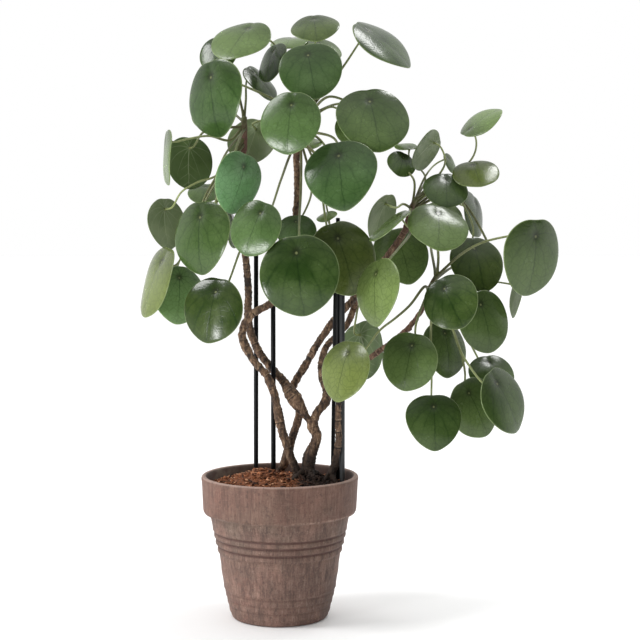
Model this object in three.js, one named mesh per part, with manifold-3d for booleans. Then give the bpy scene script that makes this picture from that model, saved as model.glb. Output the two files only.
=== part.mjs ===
import * as THREE from "three";
import Module from "manifold-3d";
import { mergeVertices } from "three/examples/jsm/utils/BufferGeometryUtils.js";

const wasm = await Module();
wasm.setup();
const group = new THREE.Group();
group.name = "potted_money_plant";

// Millimetres, +Z up. The origin is the middle of the pot's flat foot, on the floor; the front faces -Y.
const potHeight = 168;
const potSides = 40;
const floorThickness = 9;
const bandHeight = 44;
const footRadius = 57.5;
const bodyTopRadius = 83.2;
const bandFootRadius = 91.6;
const rimRadius = 93.8;
const wallThickness = 6.5;
const soilTop = 157;
// Outside of the pot's body from the foot up: height, radius. It widens in small steps.
const bodySteps = [
  [2.5, 58], [9, 60.4], [14.5, 61.2], [17.5, 62.6], [22.5, 63.3], [26, 64.8], [31.5, 65.6], [36, 67.3],
  [60, 70.5], [75, 72.2], [79, 74.6], [84.5, 74.4], [88, 77], [93.3, 76.8], [96.5, 79], [101.3, 78.9],
  [104.5, 80.6], [122, 83.2],
];
const insideFootRadius = 52;
const insideBendRadius = 77;
const seatGap = 0.3;
const shootGap = 0.5;
const holeGap = 0.5;
const rodSides = 8;
const bladeThickness = 1.3;
const bladePoints = 14;
const petioleRadius = 1.35;
const petioleSides = 4;
const stemSides = 6;

// Plan places are read along the sight lines of this point: x and z where the line meets the
// plane y = 0 through the pot's axis, and then the depth y.
const eye = new THREE.Vector3(48, -1680, 443);

// Shoot tips that carry the leaves: x, z in the axis plane, depth y.
const crowns = {
  A: [
    [-44, 556, 8], [-43, 578, 4], [-43, 598, 0],
  ],
  B: [
    [21, 560, 4], [29, 590, 0], [42, 617, -8],
  ],
  C: [
    [156, 478, 4], [158, 488, 0], [163, 499, -6],
  ],
  D: [
    [95, 404, 70], [92, 424, 68], [84, 446, 60],
  ],
  E: [
    [172, 368, -26], [180, 392, -30], [190, 411, -34],
  ],
};

// Woody stems, from their buried ends up.
const stems = {
  S1: [
    [24, 120, 14], [24, 150, 14], [22, 167, 13], [15, 184, 10], [9, 200, 9],
    [2, 222, 9], [-3, 245, 10], [-8, 268, 11], [-15, 286, 12], [-30, 302, 13],
    [-41, 320, 14], [-45, 334, 15], [-42, 349, 16], [-32, 361, 15], [-8, 376, 12],
    [8, 405, 8], [17, 450, 4], [21, 509, 4], [20, 548, 4], [21, 560, 4],
  ],
  T2: [
    [31, 120, 16], [31, 150, 16], [33, 170, 16], [35, 187, 15], [41, 202, 14],
    [44, 214, 14], [40, 225, 14], [38, 235, 14],
  ],
  S2: [
    [40, 226, 14], [30, 240, 14], [22, 252, 14], [14, 264, 18], [2, 282, 32],
    [-10, 295, 35], [-26, 317, 38], [-34, 335, 38], [-38, 355, 38], [-38, 389, 34],
    [-41, 428, 28], [-45, 490, 18], [-45, 540, 10], [-44, 556, 8],
  ],
  S4: [
    [38, 228, 14], [46, 244, 16], [54, 254, 20], [56, 266, 28], [50, 284, 38],
    [50, 305, 48], [56, 322, 56], [68, 334, 64], [80, 347, 70], [87, 363, 72],
    [92, 380, 72], [95, 404, 70],
  ],
  S3: [
    [-2, 120, 60], [-2, 150, 60], [0, 168, 60], [6, 184, 56], [12, 203, 50],
    [18, 222, 46], [23, 240, 44], [18, 258, 44], [14, 268, 48], [20, 282, 52],
    [30, 298, 56], [48, 329, 60], [66, 354, 60], [84, 373, 54], [93, 384, 50],
    [109, 403, 38], [124, 423, 24], [136, 439, 14], [149.5, 460, 8], [156, 478, 4],
  ],
  S5: [
    [60, 120, 8], [60, 150, 8], [62, 168, 7], [66, 184, 4], [70, 205, 0],
    [70, 250, -2], [76, 280, -6], [92, 298, -12], [110, 309, -16], [122, 318, -18],
    [140, 331, -20], [152, 342, -22], [162, 353, -24], [172, 368, -26],
  ],
};
const stemRadii = { S1: [5, 3.9], T2: [7.6, 5.4], S2: [5.2, 3.8], S4: [4.5, 3.6], S3: [5, 3.8], S5: [4.6, 3.4] };
const shootRadii = { A: [4.4, 3.4], B: [3.9, 2.4], C: [3.8, 2.4], D: [3.6, 2.2], E: [3.4, 2.3] };
const stemEnd = { A: "S2", B: "S1", C: "S3", D: "S4", E: "S5" };

// Swellings on a stem: share of its length, extra radius, spread.
const swellings = {
  S1: [[0.25, 1.1, 0.03], [0.46, 0.8, 0.02]],
  T2: [[0.55, 1.6, 0.16], [0.95, 1.2, 0.12]],
  S2: [[0.115, 4.2, 0.045]],
  S4: [[0.03, 1.2, 0.04], [0.16, 1.2, 0.05]],
  S3: [[0.19, 1.0, 0.04]],
  S5: [[0.14, 1.6, 0.06]],
};

// Leaves: crown, x and z of the blade's middle in the axis plane, depth, width across in that
// plane, the way the upper side faces, the way the tip points as seen from the front (x, z),
// narrowing toward the tip, and points that the stalk passes.
const leaves = [
  ["B", -47, 690, -30, 74, [-.22, -.66, .72], [-.45, -.75], .0, [[-10, 687, 30]]],
  ["A", -74, 673, 12, 50, [-.3, -.85, .4], [-.1, -1], .05, []],
  ["B", -79, 620, -50, 93, [-.68, -.73, 0], [.12, -1], .1, [[-20, 624, -18], [-48, 636, -28]]],
  ["A", -84, 603, 25, 48, [-.2, -.8, .55], [-.5, -.8], .05, []],
  ["B", -10, 663, 0, 51, [-.72, -.55, .35], [-.2, -1], .05, []],
  ["A", -23, 638, 18, 52, [.66, -.45, .58], [.6, -.7], .05, [[-41, 617, 8]]],
  ["B", 37, 653, -50, 76, [-.05, -.93, .36], [.18, -1], .1, []],
  ["B", 42, 705, -10, 59, [-.1, -.62, .78], [.1, -.9], .0, []],
  ["B", 50, 678, 36, 50, [.2, -.6, .77], [.4, -.8], .0, []],
  ["B", 11, 687, 46, 46, [-.1, -.4, .9], [-.3, -.9], .0, []],
  ["B", 12, 591, -95, 76, [-.3, -.93, .15], [-.1, -1], .02, []],
  ["B", -34, 567, 45, 60, [.2, .9, -.35], [-.3, -.9], .05, []],
  ["B", 123, 685, -10, 84, [.52, -.5, .69], [.79, -.61], .05, [[73, 653, -8]]],
  ["B", 112, 595, -70, 90, [.15, -.85, .5], [.2, -1], .05, [[58, 621, -22]]],
  ["B", 89, 583, 10, 46, [0, -.9, .3], [.2, -1], .05, [[62, 609, 0]]],
  ["B", 73, 528, -101, 88, [-.2, -.92, .3], [.1, -1], .2, [[65, 571, -45]]],
  ["C", 175, 557, 10, 53, [-.75, .5, .42], [-.7, -.7], .05, [[198, 541, 24]]],
  ["C", 146, 541, 20, 36, [.3, -.8, .5], [-.3, -1], .0, [[161, 520, 4]]],
  ["C", 151, 562, 35, 28, [0, -.35, .94], [-.5, .3], .0, [[174, 526, 34]]],
  ["C", 205, 541, 40, 28, [.8, -.45, .4], [.5, -.8], .1, []],
  ["A", -136, 549, -50, 66, [-.975, -.22, .02], [0, -1], .02, [[-60, 569, 4], [-84, 574, -8], [-108, 571, -28]]],
  ["A", -109, 542, 10, 63, [-.55, .82, -.1], [0, -1], .05, [[-90, 580, -8]]],
  ["A", -137, 469, 20, 62, [-.78, .6, -.1], [.1, -1], .1, [[-74, 528, 4], [-100, 518, 2], [-118, 507, -2]]],
  ["A", -95, 453, -60, 88, [-.62, -.78, .08], [0, -1], .12, []],
  ["A", -50, 518, -70, 75, [.72, -.67, -.15], [-.3, -1], .12, []],
  ["B", -30, 464, -100, 68, [-.4, -.87, .2], [-.37, -.93], .03, [[12, 551, -14], [1, 521, -44]]],
  ["A", -91, 506, 64, 40, [0, -.6, .8], [-.2, -1], .05, []],
  ["A", -149, 400, -20, 88, [-.85, -.43, .3], [-.35, -1], .05, []],
  ["A", -122, 385, 30, 72, [.5, -.8, .25], [0, -1], .08, []],
  ["A", -81, 366, -70, 79, [-.4, -.88, .15], [-.2, -1], .03, [[-51, 549, -9], [-50, 500, -12], [-46, 443, -16], [-50, 431, -24]]],
  ["A", -58, 466, 0, 55, [.95, -.2, .2], [0, -1], .05, []],
  ["B", 23, 408, -120, 97, [-.15, -.97, .1], [.12, -1], .03, [[25, 557, -13], [25, 509, -16], [23, 470, -50]]],
  ["B", 20, 460, -20, 48, [0, -.85, .5], [.1, -1], .0, [[38, 510, 2], [30, 484, 4]]],
  ["B", 76, 428, -60, 90, [.45, -.88, .15], [.3, -.95], .05, [[50, 540, -20], [52, 493, -30]]],
  ["B", 56, 478, -8, 26, [-.3, -.4, .87], [.3, -.9], .05, [[46, 530, 2]]],
  ["C", 121, 477, -30, 60, [-.82, .5, .36], [-.3, -1], .1, []],
  ["E", 147, 431, 56, 70, [.3, -.9, .3], [.3, -1], .15, [[182, 434, 0], [176, 462, 50], [156, 468, 84]]],
  ["C", 116, 387, -104, 82, [-.83, -.55, .15], [0, -1], .18, [[157, 459, -30], [143, 440, -60], [130, 424, -84]]],
  ["E", 190, 466, -80, 74, [.15, -.72, .67], [-.05, -1], .03, [[190, 430, -44]]],
  ["C", 199, 510, -20, 55, [.1, -.75, .65], [0, -1], .0, []],
  ["C", 235, 530, -10, 56, [-.1, -.6, .79], [.2, -.9], .0, []],
  ["C", 241, 591, -10, 56, [-.5, -.42, .76], [.8, .58], .03, [[229, 545, 22]]],
  ["C", 233, 480, 40, 57, [.86, -.45, .2], [-.1, -1], .08, [[196, 500, 30]]],
  ["C", 237, 421, -6, 70, [.35, -.88, .35], [.2, -1], .08, [[192, 508, 2], [211, 503, -8], [224, 484, 0], [232, 462, 12]]],
  ["E", 303, 429, -70, 94, [.6, -.78, -.17], [-.08, -1], .08, [[216, 431, -50], [240, 445, -58], [270, 453, -64]]],
  ["E", 284, 381, -20, 50, [.98, .1, -.15], [-.1, -1], .1, [[216, 418, 24], [250, 402, 46]]],
  ["E", 205, 375, -110, 68, [-.35, -.88, .25], [.4, -.9], .06, []],
  ["C", 245, 352, -50, 75, [.5, -.85, .15], [.25, -1], .06, [[205, 507, 8], [222, 492, 6], [238, 468, 16], [254, 430, 30], [250, 390, 10]]],
  ["E", 155, 304, -100, 70, [-.35, -.9, .15], [-.2, -1], .06, [[176, 383, -44], [163, 347, -76]]],
  ["E", 199, 319, -40, 68, [.6, -.75, .2], [.1, -1], .08, []],
  ["E", 77, 293, -130, 75, [-.68, -.7, .3], [-.25, -1], .1, [[173, 393, -52], [156, 371, -64], [138, 355, -78], [120, 341, -92]]],
  ["D", 100, 317, 96, 70, [.72, .68, -.12], [.2, -1], .08, [[98, 396, 86], [92, 360, 84]]],
  ["E", 185, 231, -100, 67, [.1, -.95, .2], [.03, -1], .2, [[181, 371, -66], [181, 330, -72], [182, 290, -80]]],
  ["E", 234, 248, -60, 72, [.5, -.85, .15], [.4, -.9], .06, [[208, 340, -56], [216, 318, -58], [222, 290, -58]]],
  ["E", 269, 257, -90, 81, [.7, -.65, .3], [.45, -.9], .03, [[206, 345, -72], [213, 325, -76], [222, 306, -80]]],
  ["E", 254, 289, -16, 56, [.1, -.75, .65], [.2, -1], .03, []],
  ["C", 131, 468, -76, 60, [-.6, -.16, .78], [-.77, -.64], .05, []],
  ["B", 36, 566, 28, 30, [0, -.45, .89], [.3, -1], .05, []],
  ["A", -92, 462, 70, 66, [-.3, .85, .4], [-.2, -1], .08, []],
  ["B", 8, 596, 80, 58, [-.2, .8, .5], [-.2, -1], .08, []],
  ["B", 112, 600, 66, 66, [.3, .8, .5], [.2, -1], .08, []],
  ["B", 74, 528, 70, 66, [.3, .9, .2], [.1, -1], .08, []],
  ["D", 76, 424, 130, 70, [0, .95, .3], [.1, -1], .08, []],
  ["D", 22, 408, 70, 72, [-.4, .85, .3], [0, -1], .08, []],
  ["C", 194, 470, 74, 54, [.3, .9, .3], [.1, -1], .08, []],
  ["E", 207, 376, 40, 54, [.3, .9, .2], [.1, -1], .08, []],
];

// Support rods: name, x at the ground, depth y, heights of the buried foot and of the top, radius,
// lean to the right. Those by the wall are pushed in only until they meet it.
const rods = [
  ["rod_far_left", -28.7, 50, 67, 450, 2.8, 0],
  ["rod_left", -7.8, 24, 67, 420, 2.9, -0.002],
  ["rod_back_right", 63.1, 30, 122, 450, 2.5, 0.015],
  ["rod_mid_right", 69.5, 14, 124, 476, 2.5, 0],
  ["rod_front_right", 74.8, 6, 140, 440, 3, 0],
];

function place([x, z, y]) {
  const t = (y - eye.y) / -eye.y;
  return new THREE.Vector3(eye.x + (x - eye.x) * t, y, eye.z + (z - eye.z) * t);
}

function toManifold(geometry) {
  geometry.deleteAttribute("normal");
  geometry.deleteAttribute("uv");
  const merged = mergeVertices(geometry, 1e-4);
  const vertProperties = new Float32Array(merged.attributes.position.array);
  const triVerts = new Uint32Array(merged.index.array);
  return new wasm.Manifold(new wasm.Mesh({ numProp: 3, vertProperties, triVerts }));
}

function addNode(name, solid, color, roughness) {
  const mesh = solid.getMesh();
  const geometry = new THREE.BufferGeometry();
  const positions = new Float32Array(mesh.numVert * 3);
  for (let i = 0; i < mesh.numVert; i += 1) {
    positions[3 * i] = mesh.vertProperties[i * mesh.numProp];
    positions[3 * i + 1] = mesh.vertProperties[i * mesh.numProp + 1];
    positions[3 * i + 2] = mesh.vertProperties[i * mesh.numProp + 2];
  }
  geometry.setAttribute("position", new THREE.BufferAttribute(positions, 3));
  geometry.setIndex(new THREE.BufferAttribute(new Uint32Array(mesh.triVerts), 1));
  geometry.computeVertexNormals();
  const node = new THREE.Mesh(geometry, new THREE.MeshStandardMaterial({ color, roughness }));
  node.name = name;
  group.add(node);
}

function circle(radius, sides) {
  const shape = new THREE.Shape();
  for (let i = 0; i < sides; i += 1) {
    const a = (2 * Math.PI * i) / sides;
    const x = radius * Math.cos(a);
    const y = radius * Math.sin(a);
    if (i === 0) shape.moveTo(x, y);
    else shape.lineTo(x, y);
  }
  shape.closePath();
  return shape;
}

// A tube along the points whose radius follows radiusAt(share of the length).
function tube(points, radiusAt, sides, steps) {
  const path = new THREE.CatmullRomCurve3(points, false, "centripetal");
  const settings = { steps, bevelEnabled: false, extrudePath: path };
  const geometry = new THREE.ExtrudeGeometry(circle(1, sides), settings);
  const middles = path.getSpacedPoints(steps);
  const position = geometry.attributes.position;
  const v = new THREE.Vector3();
  for (let i = 0; i < position.count; i += 1) {
    v.fromBufferAttribute(position, i);
    let best = 0;
    for (let k = 1; k <= steps; k += 1) {
      if (v.distanceToSquared(middles[k]) < v.distanceToSquared(middles[best])) best = k;
    }
    v.sub(middles[best]).multiplyScalar(radiusAt(best / steps)).add(middles[best]);
    position.setXYZ(i, v.x, v.y, v.z);
  }
  return toManifold(geometry);
}

function stemRadius(name, extra) {
  const [low, high] = stemRadii[name];
  return (u) => {
    let r = low + (high - low) * u + extra;
    for (const [at, more, spread] of swellings[name]) r += more * Math.exp(-(((u - at) / spread) ** 2));
    return r;
  };
}

function stemLength(points) {
  let length = 0;
  for (let i = 1; i < points.length; i += 1) length += points[i].distanceTo(points[i - 1]);
  return length;
}

function woodyTube(name, extra = 0) {
  const points = stems[name].map(place);
  if (extra > 0) points[0].z -= extra;
  const steps = Math.round(stemLength(points) / 15);
  return tube(points, stemRadius(name, extra), stemSides, steps);
}

// A blade frame: middle, upper side, tip and side directions, and radius.
function bladeFrame(row) {
  const [, x, z, y, width, faces, tip] = row;
  const up = new THREE.Vector3(...faces).normalize();
  const toTip = new THREE.Vector3(tip[0], 0, tip[1]);
  if (Math.abs(up.y) > 0.12) toTip.y = -(up.x * tip[0] + up.z * tip[1]) / up.y;
  toTip.addScaledVector(up, -toTip.dot(up)).normalize();
  const side = new THREE.Vector3().crossVectors(up, toTip);
  const radius = ((width / 2) * (y - eye.y)) / -eye.y;
  return { middle: place([x, z, y]), up, toTip, side, radius };
}

// Height of the blade over its rim plane at a (toward the tip) and b (sideways), in radii.
function bladeHeight(a, b, turn) {
  const reach = Math.min(1.2, Math.hypot(a, b));
  const dome = 0.08 * (1 - reach ** 2);
  const dimple = 0.045 * Math.exp(-(((a + 0.56) ** 2 + b ** 2) / 0.03));
  const wave = 0.035 * reach ** 2 * Math.sin(3 * Math.atan2(b, a) + turn);
  return dome - dimple + wave;
}

function rimPoint(angle, narrowing) {
  const fromNotch = Math.PI - Math.abs(angle);
  const point = 0.04 * Math.exp(-((angle / 0.3) ** 2));
  const notch = 0.05 * Math.exp(-((fromNotch / 0.22) ** 2));
  const reach = 1.005 + point - notch;
  return [reach * Math.cos(angle), reach * Math.sin(angle) * (1 - narrowing * Math.cos(angle))];
}

const hubAt = -0.56;

function bladePoint(frame, a, b, turn, drop) {
  const p = frame.middle.clone();
  p.addScaledVector(frame.toTip, a * frame.radius);
  p.addScaledVector(frame.side, b * frame.radius);
  return p.addScaledVector(frame.up, bladeHeight(a, b, turn) * frame.radius - drop);
}

// A thin closed blade: a fan round the hub, a ring with half of the points, and the rim.
function blade(row, turn) {
  const frame = bladeFrame(row);
  const innerPoints = bladePoints / 2;
  const positions = [];
  for (const drop of [0, bladeThickness]) {
    positions.push(bladePoint(frame, hubAt, 0, turn, drop));
    for (const [share, count] of [[0.48, innerPoints], [drop > 0 ? 0.985 : 1, bladePoints]]) {
      for (let i = 0; i < count; i += 1) {
        const [a, b] = rimPoint(-Math.PI + (2 * Math.PI * i) / count, row[7]);
        positions.push(bladePoint(frame, hubAt + (a - hubAt) * share, b * share, turn, drop));
      }
    }
  }
  const half = 1 + innerPoints + bladePoints;
  const inner = (layer, i) => layer * half + 1 + (i % innerPoints);
  const rim = (layer, i) => layer * half + 1 + innerPoints + (i % bladePoints);
  const triangles = [];
  for (let i = 0; i < innerPoints; i += 1) {
    for (const layer of [0, 1]) {
      const faces = [
        [layer * half, inner(layer, i), inner(layer, i + 1)],
        [inner(layer, i), rim(layer, 2 * i), rim(layer, 2 * i + 1)],
        [inner(layer, i), rim(layer, 2 * i + 1), inner(layer, i + 1)],
        [inner(layer, i + 1), rim(layer, 2 * i + 1), rim(layer, 2 * i + 2)],
      ];
      for (const face of faces) triangles.push(layer === 0 ? face : [face[0], face[2], face[1]]);
    }
  }
  for (let i = 0; i < bladePoints; i += 1) {
    triangles.push([rim(0, i), rim(1, i), rim(1, i + 1)], [rim(0, i), rim(1, i + 1), rim(0, i + 1)]);
  }
  const geometry = new THREE.BufferGeometry().setFromPoints(positions);
  geometry.setIndex(triangles.flat());
  return toManifold(geometry);
}

// The stalk leaves the shoot at a share of its height and meets the blade from below at the hub.
function petiole(row, turn, shoot, share) {
  const frame = bladeFrame(row);
  const end = bladePoint(frame, hubAt, 0, turn, bladeThickness * 0.5);
  const start = shoot.getPoint(share);
  const first = row[8].length > 0 ? place(row[8][0]) : end;
  start.addScaledVector(first.clone().sub(start).normalize(), 1);
  const passed = row[8].map(place);
  const last = passed.length > 0 ? passed[passed.length - 1] : start;
  const near = Math.min(16, 0.3 * last.distanceTo(end));
  const approach = end.clone().addScaledVector(frame.up, -near);
  const points = [start, ...passed, approach, end];
  if (passed.length === 0) {
    const rise = start.clone().lerp(approach, 0.5);
    rise.z += 0.1 * start.distanceTo(approach);
    points.splice(1, 0, rise);
  }
  const steps = Math.max(3, Math.min(6, Math.round(stemLength(points) / 22)));
  return tube(points, () => petioleRadius, petioleSides, steps);
}

function makeCrown(key) {
  const stem = new THREE.CatmullRomCurve3(stems[stemEnd[key]].map(place), false, "centripetal");
  const seat = stem.getPoint(1);
  const along = stem.getTangent(1);
  const points = crowns[key].map(place);
  points[0] = seat.clone().addScaledVector(along, shootGap);
  points.splice(1, 0, seat.clone().addScaledVector(along, 6));
  const shoot = new THREE.CatmullRomCurve3(points, false, "centripetal");
  const [low, high] = shootRadii[key];
  let solid = tube(points, (u) => low + (high - low) * u, stemSides, 4);
  const own = leaves.filter((row) => row[0] === key).sort((a, b) => a[2] - b[2]);
  own.forEach((row, i) => {
    const turn = leaves.indexOf(row) * 2.4;
    const share = 0.4 + (0.58 * (i + 0.5)) / own.length;
    solid = solid.add(petiole(row, turn, shoot, share)).add(blade(row, turn));
  });
  return solid;
}

function potProfile() {
  const step = potHeight - bandHeight;
  const profile = [[0, 0], [footRadius - 2.5, 0]];
  for (const [z, radius] of bodySteps) profile.push([radius, z]);
  profile.push([bandFootRadius - 1.5, step - 1], [bandFootRadius, step + 1.5]);
  profile.push([rimRadius, potHeight - 3], [rimRadius - 1.2, potHeight - 0.6], [rimRadius - 3.2, potHeight]);
  profile.push([rimRadius - wallThickness + 1, potHeight - 1]);
  profile.push([insideRadius(potHeight - 3), potHeight - 3], [insideRadius(step - 6), step - 6]);
  profile.push([insideRadius(floorThickness), floorThickness], [0, floorThickness]);
  return profile;
}

// The inside wall is straight from the floor up to the band and a little steeper above it.
function insideRadius(z) {
  const step = potHeight - bandHeight - 6;
  const spread = insideBendRadius - insideFootRadius;
  if (z <= step) return insideFootRadius + (spread * (z - floorThickness)) / (step - floorThickness);
  return insideBendRadius + ((rimRadius - wallThickness - insideBendRadius) * (z - step)) / (potHeight - 3 - step);
}

function makePot() {
  const profile = potProfile().map(([r, z]) => new THREE.Vector2(r, z));
  const geometry = new THREE.LatheGeometry(profile, potSides);
  geometry.rotateX(Math.PI / 2);
  return toManifold(geometry);
}

// Ground height: a mound left of the middle, a knotted root flare round the stems, small lumps.
function groundHeight(x, y) {
  const mound = 15 * Math.exp(-(((x + 21) / 28) ** 2 + ((y - 8) / 44) ** 2));
  const flare = 7 * Math.exp(-(((x - 36) / 22) ** 2 + ((y - 12) / 24) ** 2));
  const lumps = 1.3 * Math.sin(x * 0.31 + 1.3 * Math.sin(y * 0.23)) * Math.cos(y * 0.27 + 0.8);
  const edge = Math.min(1, (86 - Math.hypot(x, y)) / 16);
  return soilTop + (mound + flare + lumps) * Math.max(0, edge);
}

function makeSoil() {
  const rows = 6;
  const around = 24;
  const base = floorThickness + seatGap;
  const topEdge = insideRadius(soilTop) - seatGap - 0.6;
  const bend = potHeight - bandHeight - 6;
  const positions = [new THREE.Vector3(0, 0, base)];
  const rings = [[insideRadius(base) - seatGap - 0.6, base], [insideRadius(bend) - seatGap - 0.6, bend]];
  for (const [radius, z] of rings) {
    for (let i = 0; i < around; i += 1) {
      const a = (2 * Math.PI * i) / around;
      positions.push(new THREE.Vector3(radius * Math.cos(a), radius * Math.sin(a), z));
    }
  }
  for (let k = rows; k > 0; k -= 1) {
    for (let i = 0; i < around; i += 1) {
      const a = (2 * Math.PI * i) / around;
      const x = ((topEdge * k) / rows) * Math.cos(a);
      const y = ((topEdge * k) / rows) * Math.sin(a);
      positions.push(new THREE.Vector3(x, y, k === rows ? soilTop : groundHeight(x, y)));
    }
  }
  positions.push(new THREE.Vector3(0, 0, groundHeight(0, 0)));
  const triangles = [];
  const at = (ring, i) => 1 + ring * around + (i % around);
  for (let i = 0; i < around; i += 1) {
    triangles.push([0, at(0, i + 1), at(0, i)]);
    for (let ring = 0; ring < rows + 1; ring += 1) {
      triangles.push([at(ring, i), at(ring, i + 1), at(ring + 1, i + 1)]);
      triangles.push([at(ring, i), at(ring + 1, i + 1), at(ring + 1, i)]);
    }
    triangles.push([at(rows + 1, i), at(rows + 1, i + 1), positions.length - 1]);
  }
  const geometry = new THREE.BufferGeometry().setFromPoints(positions);
  geometry.setIndex(triangles.flat());
  let solid = toManifold(geometry);
  for (const name of ["S1", "T2", "S3", "S5"]) solid = solid.subtract(woodyTube(name, holeGap));
  for (const rod of rods) solid = solid.subtract(rodBar(rod, seatGap));
  return solid;
}

// A straight bar along a rod's line, from its foot to its top, wider and longer by extra.
function rodBar([, x, y, foot, top, radius, lean], extra = 0) {
  const geometry = new THREE.CylinderGeometry(radius + extra, radius + extra, top - foot + 2 * extra, rodSides);
  geometry.rotateX(Math.PI / 2);
  geometry.rotateY(Math.atan(lean));
  const middle = (foot + top) / 2;
  geometry.translate(place([x, 0, y]).x + lean * (middle - soilTop), y, middle);
  return toManifold(geometry);
}

addNode("pot", makePot(), 0x7d645a, 0.85);
addNode("potting_mix", makeSoil(), 0x5a3423, 0.95);
for (const rod of rods) addNode(rod[0], rodBar(rod), 0x15171a, 0.4);
const trunk = woodyTube("T2").add(woodyTube("S1")).add(woodyTube("S2")).add(woodyTube("S4"));
addNode("trunk", trunk, 0x664836, 0.85);
addNode("stem_back", woodyTube("S3"), 0x6b4c38, 0.85);
addNode("stem_right", woodyTube("S5"), 0x70503c, 0.85);
const crownNames = { A: "crown_left", B: "crown_top", C: "crown_upper_right", D: "crown_middle", E: "crown_right" };
for (const key of Object.keys(crownNames)) addNode(crownNames[key], makeCrown(key), 0x4d7a3a, 0.35);

export default group;
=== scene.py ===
import math
import random
import bmesh
import bpy
from mathutils import Euler, Matrix, Vector, noise


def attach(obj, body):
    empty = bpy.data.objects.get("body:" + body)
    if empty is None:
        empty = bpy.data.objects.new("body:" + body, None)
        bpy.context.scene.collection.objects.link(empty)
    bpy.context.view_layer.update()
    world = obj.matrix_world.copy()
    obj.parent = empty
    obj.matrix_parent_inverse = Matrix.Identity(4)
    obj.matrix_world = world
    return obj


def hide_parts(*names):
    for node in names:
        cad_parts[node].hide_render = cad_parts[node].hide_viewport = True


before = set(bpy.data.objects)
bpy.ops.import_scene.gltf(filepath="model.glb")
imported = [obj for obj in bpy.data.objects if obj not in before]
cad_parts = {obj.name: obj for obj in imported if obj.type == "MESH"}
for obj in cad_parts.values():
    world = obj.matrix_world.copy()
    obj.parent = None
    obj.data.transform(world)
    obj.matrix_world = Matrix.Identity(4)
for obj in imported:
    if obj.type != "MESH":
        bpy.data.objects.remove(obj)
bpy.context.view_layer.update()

mm = 0.001
dice = random.Random(11)

# The plan of the plant, in millimetres. A place is x and z on the sight line from this point,
# read where the line meets the plane through the pot's axis, and then the depth y.
eye = Vector((48, -1680, 443))

crowns = {
    "A": [[-44, 556, 8], [-43, 578, 4], [-43, 598, 0]],
    "B": [[21, 560, 4], [29, 590, 0], [42, 617, -8]],
    "C": [[156, 478, 4], [158, 488, 0], [163, 499, -6]],
    "D": [[95, 404, 70], [92, 424, 68], [84, 446, 60]],
    "E": [[172, 368, -26], [180, 392, -30], [190, 411, -34]],
}
stems = {
    "S1": [
        [24, 120, 14], [24, 150, 14], [22, 167, 13], [15, 184, 10], [9, 200, 9],
        [2, 222, 9], [-3, 245, 10], [-8, 268, 11], [-15, 286, 12], [-30, 302, 13],
        [-41, 320, 14], [-45, 334, 15], [-42, 349, 16], [-32, 361, 15], [-8, 376, 12],
        [8, 405, 8], [17, 450, 4], [21, 509, 4], [20, 548, 4], [21, 560, 4],
    ],
    "T2": [
        [31, 120, 16], [31, 150, 16], [33, 170, 16], [35, 187, 15], [41, 202, 14],
        [44, 214, 14], [40, 225, 14], [38, 235, 14],
    ],
    "S2": [
        [40, 226, 14], [30, 240, 14], [22, 252, 14], [14, 264, 18], [2, 282, 32],
        [-10, 295, 35], [-26, 317, 38], [-34, 335, 38], [-38, 355, 38], [-38, 389, 34],
        [-41, 428, 28], [-45, 490, 18], [-45, 540, 10], [-44, 556, 8],
    ],
    "S4": [
        [38, 228, 14], [46, 244, 16], [54, 254, 20], [56, 266, 28], [50, 284, 38],
        [50, 305, 48], [56, 322, 56], [68, 334, 64], [80, 347, 70], [87, 363, 72],
        [92, 380, 72], [95, 404, 70],
    ],
    "S3": [
        [-2, 120, 60], [-2, 150, 60], [0, 168, 60], [6, 184, 56], [12, 203, 50],
        [18, 222, 46], [23, 240, 44], [18, 258, 44], [14, 268, 48], [20, 282, 52],
        [30, 298, 56], [48, 329, 60], [66, 354, 60], [84, 373, 54], [93, 384, 50],
        [109, 403, 38], [124, 423, 24], [136, 439, 14], [149.5, 460, 8], [156, 478, 4],
    ],
    "S5": [
        [60, 120, 8], [60, 150, 8], [62, 168, 7], [66, 184, 4], [70, 205, 0],
        [70, 250, -2], [76, 280, -6], [92, 298, -12], [110, 309, -16], [122, 318, -18],
        [140, 331, -20], [152, 342, -22], [162, 353, -24], [172, 368, -26],
    ],
}
stemRadii = {"S1": [5, 3.9], "T2": [7.6, 5.4], "S2": [5.2, 3.8], "S4": [4.5, 3.6], "S3": [5, 3.8], "S5": [4.6, 3.4]}
shootRadii = {"A": [4.4, 3.4], "B": [3.9, 2.4], "C": [3.8, 2.4], "D": [3.6, 2.2], "E": [3.4, 2.3]}
stemEnd = {"A": "S2", "B": "S1", "C": "S3", "D": "S4", "E": "S5"}
swellings = {  # share of the length, extra radius, spread
    "S1": [[0.25, 1.1, 0.03], [0.46, 0.8, 0.02]],
    "T2": [[0.55, 1.6, 0.16], [0.95, 1.2, 0.12]],
    "S2": [[0.115, 4.2, 0.045]],
    "S4": [[0.03, 1.2, 0.04], [0.16, 1.2, 0.05]],
    "S3": [[0.19, 1.0, 0.04]],
    "S5": [[0.14, 1.6, 0.06]],
}
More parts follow.
